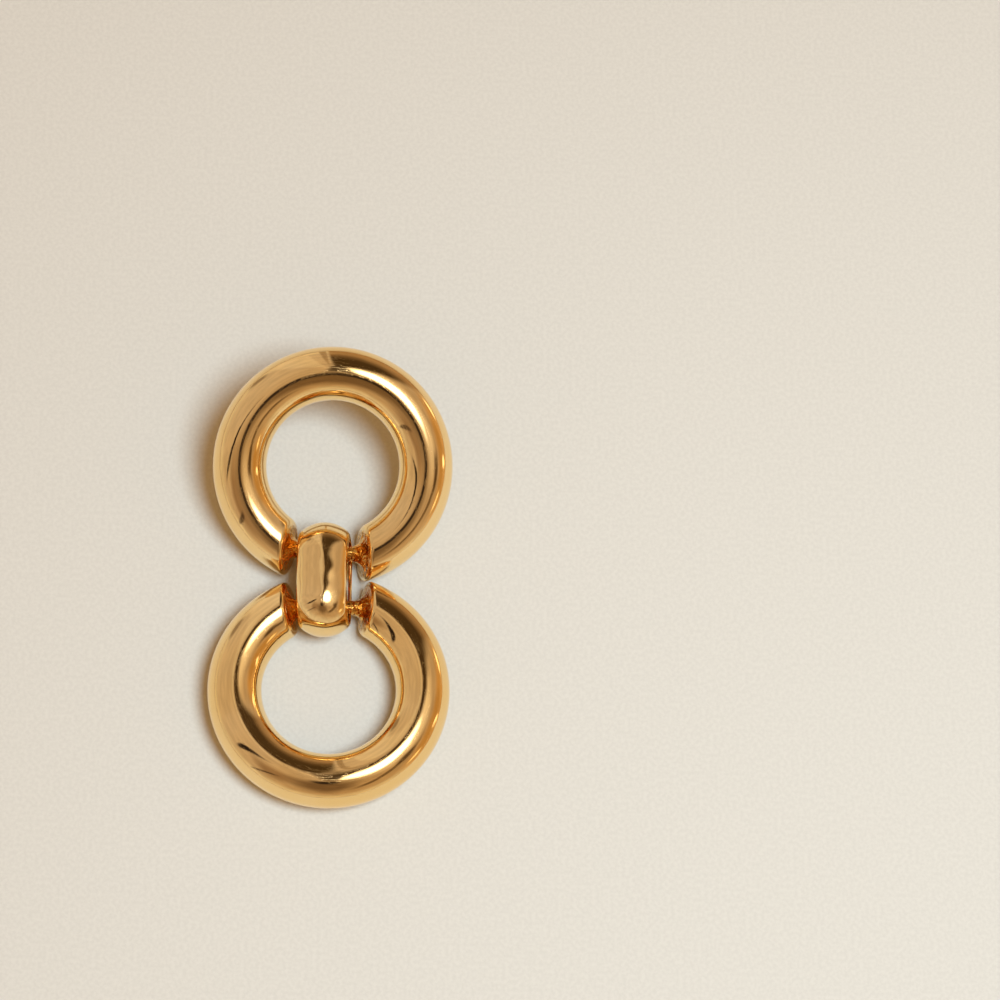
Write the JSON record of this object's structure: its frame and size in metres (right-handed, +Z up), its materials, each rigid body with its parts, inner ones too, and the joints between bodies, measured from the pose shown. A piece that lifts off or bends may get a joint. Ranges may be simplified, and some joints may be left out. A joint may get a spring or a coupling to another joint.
{
  "type": "hoop drop earring",
  "caption": "Thick round-tube open hoops hung one below the other on a domed band link, with a straight ear post behind the top hoop.",
  "frame": {"origin": "under the middle of the earring, on the surface that it lies on", "axes": "+X across the earring, +Y along it towards the worn (top) hoop, +Z up, towards the earring's front"},
  "size_m": [0.025, 0.049, 0.0128],
  "materials": {
    "polished_gold": "mirror-polished yellow gold plating over brass",
    "post_gold": "polished gold plating, drawn wire"
  },
  "bodies": {
    "root": {"upper_hoop": "polished_gold", "lower_hoop": "polished_gold", "band_link": "polished_gold", "ear_post": "post_gold"}
  },
  "joints": []
}
